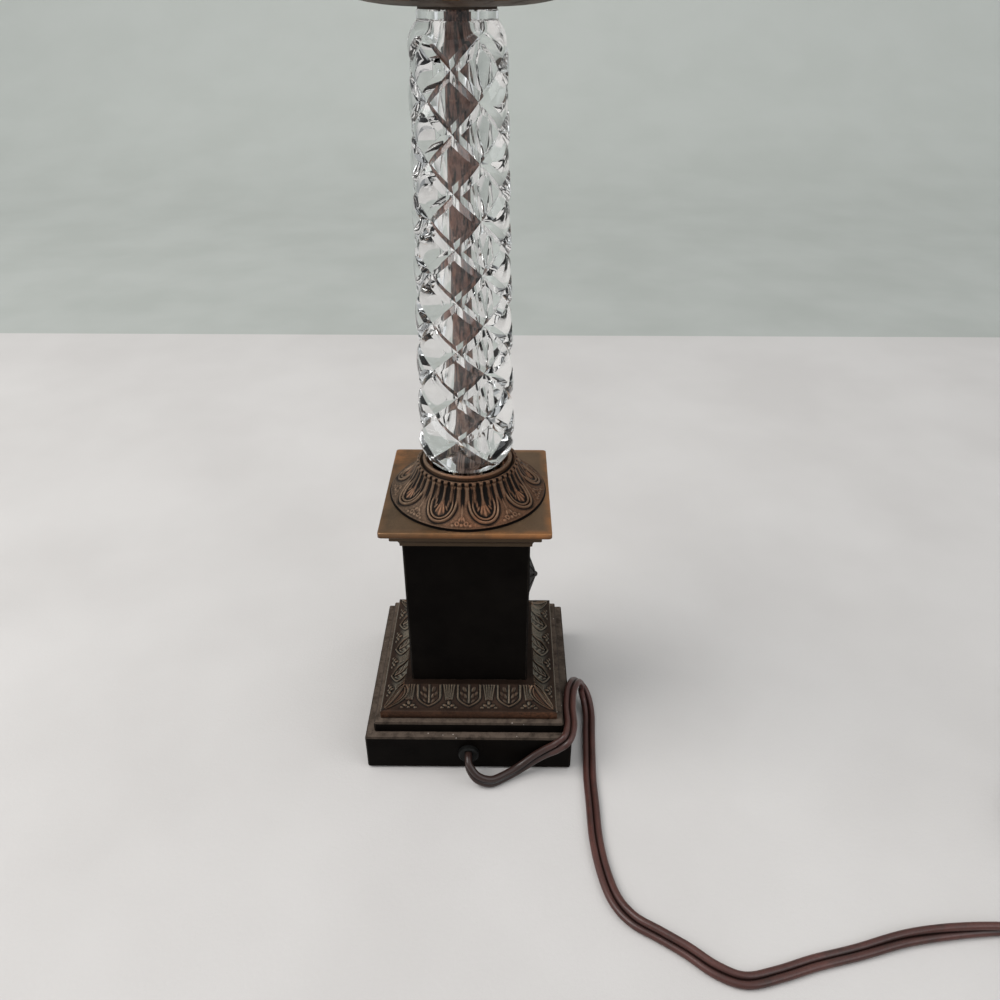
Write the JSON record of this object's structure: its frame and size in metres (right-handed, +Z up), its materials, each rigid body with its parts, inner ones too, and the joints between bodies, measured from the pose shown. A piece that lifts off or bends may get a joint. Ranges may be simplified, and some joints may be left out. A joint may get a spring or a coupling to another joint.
{
  "type": "table lamp",
  "caption": "Table lamp: stepped square base and plinth, leaf dome, cut glass column with a threaded pipe inside, dish, keyed bulb socket, lift-off harp, finial, and flat cord with plug.",
  "frame": {"origin": "centre of the square footprint, on the surface that the felt rests on", "axes": "+Z up along the column and the pipe; -Y is the front, where the cord leaves the base; +X is to the right, the side with the round ornament"},
  "size_m": [0.4263, 0.2267, 0.5988],
  "materials": {
    "felt": "dull felt",
    "black_metal": "near black, worn on the top edges",
    "bronze": "dark bronze patina with copper on the raised parts",
    "dark_steel": "darkened",
    "cork": "plain cork",
    "crystal": "clear and polished",
    "brass": "aged brass",
    "steel": "plain zinc",
    "card": "brown insulating card",
    "phenolic": "dark phenolic",
    "black_plastic": "plain black",
    "wire_brown": "vinyl insulation",
    "cord_brown": "reddish-brown vinyl"
  },
  "bodies": {
    "lamp": {"felt_pad": "felt", "base_block": "black_metal", "base_step": "black_metal", "base_moulding": "bronze", "plinth": "black_metal", "side_rosette": "bronze", "rosette_pin": "dark_steel", "cap_plate": "bronze", "leaf_dome": "bronze", "seat_washer": "cork", "crystal_column": "crystal", "top_washer": "cork", "drip_dish": "brass", "turned_neck": "brass", "centre_pipe": "steel", "plain_washer": "steel", "pipe_nut": "steel", "top_nut": "brass", "harp_saddle": "brass", "socket_cap": "brass", "cap_screw": "steel", "socket_shell": "brass", "shell_liner": "card", "switch_body": "phenolic", "terminal_screws": "steel", "screw_shell": "brass", "centre_contact": "brass", "inner_wires": "wire_brown", "cord_grommet": "black_plastic", "cord": "cord_brown", "cord_coil": "cord_brown", "cord_tail": "cord_brown", "cord_tie": "black_plastic", "plug_body": "cord_brown", "plug_blades": "brass"},
    "key": {"switch_key": "black_plastic"},
    "harp": {"harp": "brass"},
    "sleeve_left": {"harp_sleeve_left": "brass"},
    "sleeve_right": {"harp_sleeve_right": "brass"},
    "finial": {"finial": "brass"}
  },
  "joints": [
    {"name": "key_turn", "type": "hinge", "parent": "lamp", "child": "key", "pos_m": [0, 0.02, 0.4089], "axis": [0, 1, 0], "continuous": true},
    {"name": "harp_lift", "type": "slide", "parent": "lamp", "child": "harp", "axis": [0, 0, 1], "range_m": [0, 0.02]},
    {"name": "sleeve_left_slide", "type": "slide", "parent": "harp", "child": "sleeve_left", "axis": [0, 0, 1], "range_m": [0, 0.012]},
    {"name": "sleeve_right_slide", "type": "slide", "parent": "harp", "child": "sleeve_right", "axis": [0, 0, 1], "range_m": [0, 0.012]},
    {"name": "finial_turn", "type": "hinge", "parent": "harp", "child": "finial", "pos_m": [0, 0, 0.56878], "axis": [0, 0, 1], "continuous": true}
  ]
}
